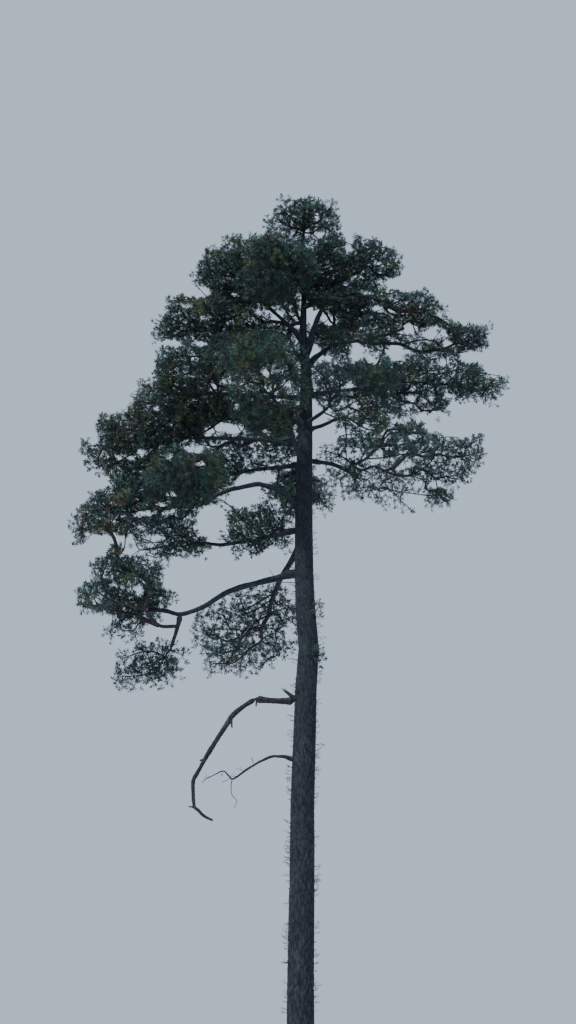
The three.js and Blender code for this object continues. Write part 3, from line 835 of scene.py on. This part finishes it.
def branches_from(start, first):
    """Lines of wood from a joint on, the one that feeds most shoots first, with their radii."""
    line = [start, first]
    side_starts = []
    while True:
        onward = sorted((d for d in daughters[line[-1]] if fed[d]), key=lambda d: -fed[d])
        side_starts += [(line[-1], d) for d in onward[1:]]
        if not onward:
            break
        line.append(onward[0])
    thick = radius_for(fed[first])
    if girth[start]:
        thick = min(thick, girth[start] * SHOULDER)
    rows = [(*places[joint], min(thick, radius_for(fed[joint]))) for joint in line]
    rows[0] = (*places[start], thick)
    lines = [np.array(rows)]
    for side in side_starts:
        lines += branches_from(*side)
    return lines


branch_lines = []
for start in range(root_count):
    for first in sorted((d for d in daughters[start] if fed[d]), key=lambda d: -fed[d]):
        branch_lines += branches_from(start, first)


def tube(line, sides):
    """Corners and triangles of a closed tapering tube round a line of places and radii."""
    middles = line[:, :3]
    across, above = square_to(middles)
    turns = np.arange(sides) * math.tau / sides
    ring = across[:, None] * np.cos(turns)[:, None] + above[:, None] * np.sin(turns)[:, None]
    corners = (middles[:, None] + ring * line[:, 3][:, None, None]).reshape(-1, 3)
    a = (np.arange(len(line) - 1)[:, None] * sides + np.arange(sides)).ravel()
    b = (np.arange(len(line) - 1)[:, None] * sides + (np.arange(sides) + 1) % sides).ravel()
    walls = np.vstack([np.stack([a, b, b + sides], 1), np.stack([a, b + sides, a + sides], 1)])
    fan = np.arange(1, sides - 1)
    foot = np.stack([np.zeros_like(fan), fan + 1, fan], 1)
    tip = np.stack([np.zeros_like(fan), fan, fan + 1], 1) + (len(line) - 1) * sides
    return corners, np.vstack([walls, foot, tip])


def joined(name, parts):
    """One mesh of many parts, each given by its corners and triangles."""
    offsets = np.cumsum([0, *(len(corners) for corners, _ in parts)])
    corners = np.vstack([corners for corners, _ in parts]).astype(np.float32)
    triangles = np.vstack([faces + offset for (_, faces), offset in zip(parts, offsets)])
    mesh = bpy.data.meshes.new(name)
    mesh.vertices.add(len(corners))
    mesh.vertices.foreach_set("co", corners.ravel())
    mesh.loops.add(triangles.size)
    mesh.loops.foreach_set("vertex_index", triangles.ravel().astype(np.int32))
    mesh.polygons.add(len(triangles))
    mesh.polygons.foreach_set("loop_start", np.arange(0, triangles.size, 3, dtype=np.int32))
    mesh.update(calc_edges=True)
    return mesh


def twig_finish(name, dark, light):
    """Thin bark with no plates: two close browns in fine streaks."""
    material, shader = new_material(name, TWIG_BARK)
    streaks = noise_over(material, place_on(material), *TWIG_NOISE)
    colour = ramp(material, streaks, *zip(STREAKS, (dark, light)))
    material.node_tree.links.new(colour, shader.inputs["Base Color"])
    return material


branch_bark = twig_finish("branch bark", *BRANCH_COLOURS)
branch_parts = []
for line in branch_lines:
    sides = next(sides for radius, sides in BRANCH_SIDES.items() if line[0][3] > radius)
    branch_parts.append(tube(curved(line, BRANCH_STEP), sides))
branch_mesh = joined("branches", branch_parts)
branch_mesh.shade_smooth()
shown("branches", branch_mesh, branch_bark, mass_nodes)

# Shoots: each clump is a short branchlet whose shoots spread round it and turn up towards the light.
# They are thin brown twigs, bare but for the tuft of needles round the last stretch of each.
CLUMP_SEED = 5
CLUMP_HEIGHT = 0.20
CLUMP_UNEVEN = (0.8, 1.2)
CLUMP_DROP = 0.12  # how far below the middle of its clump a branchlet starts
PULLS = {"branch": 0.5, "outwards": 0.25, "light": 0.75}  # what a branchlet follows, and how closely
BRANCHLET_RADII = (0.009, 0.008, 0.004)
SHOOT_LENGTH = {"lowest": 0.27, "top": 0.15}
SHOOT_UNEVEN = (0.75, 1.25)
SHOOT_LEAN = {"lowest": 108, "top": 20, "uneven": 14}  # degrees away from the branchlet
SHOOT_SPAN = 0.9  # share of the branchlet that bears shoots
SHOOT_FOOT_RADIUS = 0.006
UPTURN = np.array([0, 0, 0.04])  # how far the tip of a shoot turns up towards the light
TUFT_UNEVEN = (0.85, 1.15)
GOLDEN_TURN = math.radians(137.5)  # from one shoot to the next, so that none stands over another
ACROSS_STEMS = (0.3, 0.9, 0.1)  # a direction that no branchlet has, to find the ways square to it
ACROSS_SHOOTS = (0.2, 0.3, 0.93)  # and one that no shoot has
TINTS = {  # from the shaded to the bright needles of each
    "dark": [(0.009, 0.030, 0.034), (0.022, 0.066, 0.066)],
    "green": [(0.023, 0.066, 0.056), (0.056, 0.140, 0.108)],
    "olive": [(0.050, 0.084, 0.040), (0.108, 0.156, 0.070)],
    "brown": [(0.062, 0.060, 0.038), (0.118, 0.100, 0.062)],
}
TINT_SHARES = {
    "shaded": {"dark": 0.62, "green": 0.31, "olive": 0.06, "brown": 0.01},
    "sunlit": {"dark": 0.42, "green": 0.29, "olive": 0.26, "brown": 0.03},
    "dry": {"dark": 0.44, "green": 0.22, "olive": 0.16, "brown": 0.18},
}
SUNLIT_NODES = ["tier3_front", "tier4_left_near", "tier5_left", "tier5_forkleft", "stem_near", "stem_front"]
DRY_NODES = ["tier3_left", "tier3_left_tip", "tier4_left", "tier2_left_tip"]

branchlets = []  # the line of each, from its branch's end through its foot to its top
shoots = []  # the foot and the tip of each
tufts = []  # place, direction, size, tint and mass of every tuft
chance = random.Random(CLUMP_SEED)


def light_on(node):
    """How the masses' tints are dealt out: the sun falls on the left of the crown, which is also dry."""
    name = node.removeprefix("foliage_")
    return "sunlit" if name in SUNLIT_NODES else "dry" if name in DRY_NODES else "shaded"


def between(start, end, share):
    """A value or place that share of the way from one to another."""
    return start + (end - start) * share


for seat_number, joint in sorted(zip(joint_target, range(len(places)))):
    if seat_number >= len(seat_nodes):
        break
    node = seat_nodes[seat_number]
    seat = places[joint]
    out = unit(np.array([*(seat - trunk_middle(seat[2]))[:2], 0]))
    stem = unit(heading[joint] * PULLS["branch"] + out * PULLS["outwards"] + (0, 0, PULLS["light"]))
    aside = unit(np.cross(stem, ACROSS_STEMS))
    above = np.cross(stem, aside)
    shares = TINT_SHARES[light_on(node)]
    tint = chance.choices(list(shares), list(shares.values()))[0]
    spin = chance.random() * math.tau
    tall = CLUMP_HEIGHT * chance.uniform(*CLUMP_UNEVEN)
    foot = seat - stem * CLUMP_DROP
    rows = zip((seat, foot, foot + stem * tall), BRANCHLET_RADII)
    branchlets.append(np.array([(*place, radius) for place, radius in rows]))
    for number in range(SHOOTS):
        share = (number + 0.5) / SHOOTS
        turn = spin + number * GOLDEN_TURN
        sway = chance.uniform(-SHOOT_LEAN["uneven"], SHOOT_LEAN["uneven"])
        lean = math.radians(between(SHOOT_LEAN["lowest"], SHOOT_LEAN["top"], share) + sway)
        way_out = aside * math.cos(turn) + above * math.sin(turn)
        direction = stem * math.cos(lean) + way_out * math.sin(lean)
        length = between(SHOOT_LENGTH["lowest"], SHOOT_LENGTH["top"], share) * chance.uniform(*SHOOT_UNEVEN)
        base = foot + stem * tall * share * SHOOT_SPAN
        tip = base + direction * length + UPTURN
        size = chance.uniform(*TUFT_UNEVEN)
        if not in_sky(tip, GAP_MARGIN["tufts"]):
            shoots.append((base, tip))
            tufts.append((tip, unit(tip - base + UPTURN), size, tint, node))


def spikes(feet, tips, radius):
    """Corners and triangles of thin spikes, each closed by three walls and a foot."""
    ahead = unit(tips - feet)
    across = unit(np.cross(ahead, ACROSS_SHOOTS))
    above = np.cross(ahead, across)
    turns = np.arange(3) * math.tau / 3
    ring = across[:, None] * np.cos(turns)[:, None] + above[:, None] * np.sin(turns)[:, None]
    corners = np.concatenate([feet[:, None] + ring * radius, tips[:, None]], axis=1).reshape(-1, 3)
    first = np.arange(0, len(corners), 4)[:, None]
    return corners, np.vstack([first + face for face in ([0, 1, 3], [1, 2, 3], [2, 0, 3], [0, 2, 1])])


branchlet_parts = [tube(line, 3) for line in branchlets]
shoot_feet, shoot_tips = (np.array(ends) for ends in zip(*shoots))
shoot_parts = [spikes(shoot_feet, shoot_tips, SHOOT_FOOT_RADIUS)]
shown("shoots", joined("shoots", branchlet_parts + shoot_parts), branch_bark, mass_nodes)

# Needles: they stand out all round the last stretch of each shoot, those at its tip pointing on and
# those lower down spread wide, and bow a little under their own weight.
PIECE_LIMIT = 180_000  # triangles
NEEDLES = 17
NEEDLE_LENGTH = 0.111
NEEDLE_WIDTH = 0.0205
TUFT_LENGTH = 0.083
NEEDLE_UNEVEN = (0.82, 1.1)
NEEDLE_LEAN = {"tip": 14, "spread": 76, "curve": 0.8}  # degrees away from the shoot
NEEDLE_SWAY = 0.12  # how uneven that is, in radians
NEEDLE_TWIST = 0.5  # how unevenly the blades face outwards
NEEDLE_WAIST = 0.42  # where along it a needle is widest
NEEDLE_BOW = {"down": -0.12, "outwards": 0.10}
WAX = {"Roughness": 0.55, "Specular IOR Level": 0.35}
NEEDLE_NOISE = (5.0, 3.0)
# painted shade: needles darken towards their feet, where the inside of a tuft lies in shade
PAINTED_FOOT_SHADE = 0.35  # how dark a needle is at its foot, as a share of its tint
TIP_SHADE = (0.40, 0.62)  # where in the noise the shaded tips end, and the bright ones start
ALONG_NEEDLE = [0.0, 0.6, 0.6, 1.0]  # how far out the corners of a needle lie
NEEDLE_SEED = 11

needle_chance = np.random.default_rng(NEEDLE_SEED)


def needle_tufts(members):
    """Corners and triangles of the needles of many tufts, each needle a bowed blade of two faces."""
    tips = np.array([tuft[0] for tuft in members])[:, None]
    axes = np.array([tuft[1] for tuft in members])[:, None]
    sizes = np.array([tuft[2] for tuft in members])[:, None, None]
    shape = (len(members), NEEDLES, 1)
    aside = unit(np.cross(axes, ACROSS_SHOOTS))
    above = np.cross(axes, aside)
    back = needle_chance.random(shape)
    turn = needle_chance.random(shape) * math.tau
    spread = NEEDLE_LEAN["tip"] + NEEDLE_LEAN["spread"] * back ** NEEDLE_LEAN["curve"]
    lean = np.radians(spread) + needle_chance.normal(0, NEEDLE_SWAY, shape)
    around = aside * np.cos(turn) + above * np.sin(turn)
    ahead = axes * np.cos(lean) + around * np.sin(lean)
    length = NEEDLE_LENGTH * sizes * needle_chance.uniform(*NEEDLE_UNEVEN, shape)
    foot = tips - axes * TUFT_LENGTH * back * sizes
    edge = unit(np.cross(ahead, around + needle_chance.normal(0, NEEDLE_TWIST, (*shape[:2], 3))))
    face = np.cross(edge, ahead)
    edge = np.where((face * around).sum(-1, keepdims=True) > 0, edge, -edge)
    bow = np.array([0, 0, NEEDLE_BOW["down"]]) + around * NEEDLE_BOW["outwards"]
    waist = foot + ahead * length * NEEDLE_WAIST
    half = edge * NEEDLE_WIDTH / 2 * sizes
    point = foot + unit(ahead + bow) * length
    corners = np.stack([foot, waist + half, waist - half, point], axis=2).reshape(-1, 3)
    first = np.arange(0, len(corners), 4)[:, None]
    return corners, np.vstack([first + [0, 1, 2], first + [2, 1, 3]])


def needle_finish(tint):
    """Needles of one tint, uneven from tuft to tuft and darker towards the foot in painted shade, with a
    waxy gloss.
    """
    material, shader = new_material("needles " + tint, WAX)
    uneven = noise_over(material, place_on(material), *NEEDLE_NOISE)
    along = linked(material, "ShaderNodeAttribute", attribute_name="along")
    tips = ramp(material, uneven, *zip(TIP_SHADE, TINTS[tint]))
    # painted shade: each needle darkens towards its foot, inside the tuft
    feet = [channel * PAINTED_FOOT_SHADE for channel in TINTS[tint][0]]
    colour = mixed(material, along.outputs["Fac"], feet, tips)
    material.node_tree.links.new(colour, shader.inputs["Base Color"])
    return material


for tint in TINTS:
    finish = needle_finish(tint)
    of_tint = sorted((tuft for tuft in tufts if tuft[3] == tint), key=lambda tuft: tuft[4])
    count = math.ceil(len(of_tint) * NEEDLES * 2 / PIECE_LIMIT)
    for number in range(count):
        members = of_tint[number * len(of_tint) // count : (number + 1) * len(of_tint) // count]
        name = f"needles_{tint}_{number + 1}"
        nodes = sorted({tuft[4] for tuft in members})
        mesh = joined(name, [needle_tufts(members)])
        along = mesh.attributes.new("along", "FLOAT", "POINT")
        along.data.foreach_set("value", np.tile(ALONG_NEEDLE, len(members) * NEEDLES).astype(np.float32))
        shown(name, mesh, finish, nodes)

# Cones: small, brown and egg-shaped, they sit among the needles at the foot of a shoot and stay on
# for years after they have opened.
CONES = 240
CONE_LENGTH = 0.065
CONE_WIDEST = 0.024
CONE_PLACES = (0.0, 0.12, 0.26, 0.30, 0.50, 0.54, 0.76, 1.0)  # shares of the length
CONE_WIDTHS = (0.25, 0.72, 0.80, 1.0, 0.90, 1.0, 0.62, 0.12)  # shares of the widest, at those places
CONE_PULLS = {"shoot": 0.6, "down": -0.7}  # which way a cone points
CONE_SPOT = 0.4  # how far along its shoot it sits
CONE_COLOURS = [(0.030, 0.021, 0.014), (0.085, 0.060, 0.042)]
CONE_SIDES = 6
CONE_SEED = 6

cone_scales = twig_finish("cone scales", *CONE_COLOURS)
cone_parts = []
chance = random.Random(CONE_SEED)
for base, tip in chance.sample(shoots, CONES):
    level = (chance.uniform(-1, 1), chance.uniform(-1, 1), CONE_PULLS["down"])
    ahead = unit(unit(tip - base) * CONE_PULLS["shoot"] + level)
    middles = between(base, tip, CONE_SPOT) + ahead * CONE_LENGTH * np.array(CONE_PLACES)[:, None]
    cone_parts.append(tube(np.column_stack([middles, CONE_WIDEST * np.array(CONE_WIDTHS)]), CONE_SIDES))
shown("cones", joined("cones", cone_parts), cone_scales, mass_nodes)

# Dead twigs: dry shoots as thin as wire that have lost their needles. They stand out all the way up
# the bare trunk, and hang on at the ends of the dead limbs.
TWIG_SPOTS = 430
TWIGS_ON_SPOT = 2
TWIG_HEIGHTS = (3.2, 17.0)
TWIG_LENGTHS = (0.06, 0.22)
TWIG_RADIUS = {"least": 0.005, "for its length": 0.012}
TWIG_SPREAD = {"height": 0.07, "bearing": 0.15}  # how far the twigs on one spot lie apart
TWIG_RISE = (-0.2, 0.5)
TWIG_ROOT = 0.02  # how deep a twig's foot lies in the bark
TWIG_BENDS = {"middle": 0.06, "tip": 0.05, "up": 0.12}
TWIG_TAPER = (1.0, 0.8, 0.45)
TWIG_FORKS = {"number": 2, "shortest": 0.13, "from": 0.35, "to": 0.8, "spread": 0.8}
FORK_SHARE = {"length": 0.5, "radius": 0.65}
THIN_LIMB_TWIGS = (0.3, 0.42, 0.55, 0.62, 0.7, 0.8, 0.9, 0.97)  # shares of the way along that limb
THIN_LIMB_TWIG = {"length": 0.26, "radius": 0.008}
THIN_LIMB_WAYS = ((-1, 0), (-1, 1), (-0.8, 0.6))  # how far to each side its twigs may point
CROOK_TWIG_RADII = (0.016, 0.007)
CROOK_TWIG_STEP = 0.08
DRY_COLOURS = [(0.020, 0.019, 0.020), (0.060, 0.056, 0.055)]
TWIG_SEED = 7
LONG_TWIGS = {  # height on the trunk, bearing, length and radius
    "by the lowest bough": (14.15, 178, 0.85, 0.016),
    "under the lowest bough": (12.6, 20, 0.35, 0.008),
    "over the broken limb": (11.9, 170, 0.40, 0.008),
    "right of the trunk": (9.6, 5, 0.30, 0.007),
}


def any_way():
    """A step in any direction, most often about a metre long."""
    return np.array([chance.gauss(0, 1) for _ in range(3)])


def dead_twig(foot, ahead, length, radius):
    """Lines of a dry twig that bends up a little, and of the forks on it."""
    jitter = any_way()
    middle = foot + ahead * length * 0.5 + jitter * length * TWIG_BENDS["middle"]
    tip = foot + ahead * length + (0, 0, length * TWIG_BENDS["up"]) - jitter * length * TWIG_BENDS["tip"]
    lines = [np.array([(*place, radius * share) for place, share in zip((foot, middle, tip), TWIG_TAPER)])]
    if length > TWIG_FORKS["shortest"]:
        for _ in range(TWIG_FORKS["number"]):
            side = unit(ahead + TWIG_FORKS["spread"] * any_way())
            fork = between(foot, tip, chance.uniform(TWIG_FORKS["from"], TWIG_FORKS["to"]))
            lines += dead_twig(fork, side, length * FORK_SHARE["length"], radius * FORK_SHARE["radius"])
    return lines


def twig_on_trunk(height, bearing, length, radius):
    """A dry twig that stands out from the trunk's bark."""
    out = np.array([math.cos(bearing), math.sin(bearing), 0])
    foot = trunk_middle(height) + out * (trunk_reach(height, bearing) - TWIG_ROOT)
    return dead_twig(foot, unit(out + (0, 0, chance.uniform(*TWIG_RISE))), length, radius)


twig_lines = []
chance = random.Random(TWIG_SEED)
for _ in range(TWIG_SPOTS):
    spot = chance.uniform(*TWIG_HEIGHTS)
    bearing = chance.uniform(0, math.tau)
    for _ in range(TWIGS_ON_SPOT):
        height = spot + chance.gauss(0, TWIG_SPREAD["height"])
        length = chance.uniform(*TWIG_LENGTHS)
        radius = TWIG_RADIUS["least"] + TWIG_RADIUS["for its length"] * length
        side = bearing + chance.gauss(0, TWIG_SPREAD["bearing"])
        twig_lines += twig_on_trunk(height, side, length, radius)
for height, bearing, length, radius in LONG_TWIGS.values():
    twig_lines += twig_on_trunk(height, math.radians(bearing), length, radius)
twig_lines.append(curved(seen_line(CROOK_TWIG, thin_line[-1][1], CROOK_TWIG_RADII), CROOK_TWIG_STEP))
for share in THIN_LIMB_TWIGS:
    start = thin_line[round(share * (len(thin_line) - 1))][:3]
    points = np.array([chance.uniform(*ends) for ends in THIN_LIMB_WAYS])
    twig_lines += dead_twig(start, unit(points), **THIN_LIMB_TWIG)
dry_bark = twig_finish("dry twig bark", *DRY_COLOURS)
twig_mesh = joined("dead_twigs", [tube(line, 3) for line in twig_lines])
twig_mesh.shade_smooth()
shown("dead_twigs", twig_mesh, dry_bark, ["dead_limb_thin", "trunk"])

# Floor, light and camera: a plain pale floor under a soft even light, seen from eye height with the
# camera tilted up as the photograph's was.
FLOOR_HALF = 150
FLOOR_COLOUR = (0.62, 0.63, 0.64, 1)
AIR = {"Color": (0.60, 0.73, 0.90, 1), "Strength": 0.9}
LENS = 40.43  # millimetres, which VIEW's focal length in pixels comes to in a frame 1024 pixels high
FARTHEST = 600  # metres that the camera sees
floor_mesh = bmesh.new()
bmesh.ops.create_grid(floor_mesh, x_segments=1, y_segments=1, size=FLOOR_HALF)
floor_data = bpy.data.meshes.new("floor")
floor_mesh.to_mesh(floor_data)
floor_mesh.free()
floor = bpy.data.objects.new("floor", floor_data)
bpy.context.scene.collection.objects.link(floor)
floor_data.materials.append(new_material("pale floor", {"Base Color": FLOOR_COLOUR, "Roughness": 0.9})[0])

world = bpy.data.worlds.new("pale surround")
world.use_nodes = True
for key, value in AIR.items():
    world.node_tree.nodes["Background"].inputs[key].default_value = value
bpy.context.scene.world = world


def soft_sun(name, strength, spread, tilt, bearing, colour):
    """A broad even light from far away, tilted from straight above towards a bearing."""
    lamp = bpy.data.lights.new(name, "SUN")
    lamp.energy = strength
    lamp.angle = math.radians(spread)
    lamp.color = colour
    thing = bpy.data.objects.new(name, lamp)
    thing.rotation_euler = (math.radians(tilt), 0, math.radians(bearing))
    bpy.context.scene.collection.objects.link(thing)


soft_sun("key", strength=4.0, spread=6, tilt=40, bearing=-38, colour=(1.0, 0.97, 0.90))
soft_sun("rim", strength=1.6, spread=30, tilt=48, bearing=205, colour=(0.92, 0.96, 1.0))

lens = bpy.data.cameras.new("photo view")
lens.lens = LENS
lens.clip_end = FARTHEST
camera = bpy.data.objects.new("photo view", lens)
camera.location = VIEW["eye"]
camera.rotation_euler = (math.radians(90) + VIEW["tilt"], 0, 0)
bpy.context.scene.collection.objects.link(camera)
bpy.context.scene.camera = camera
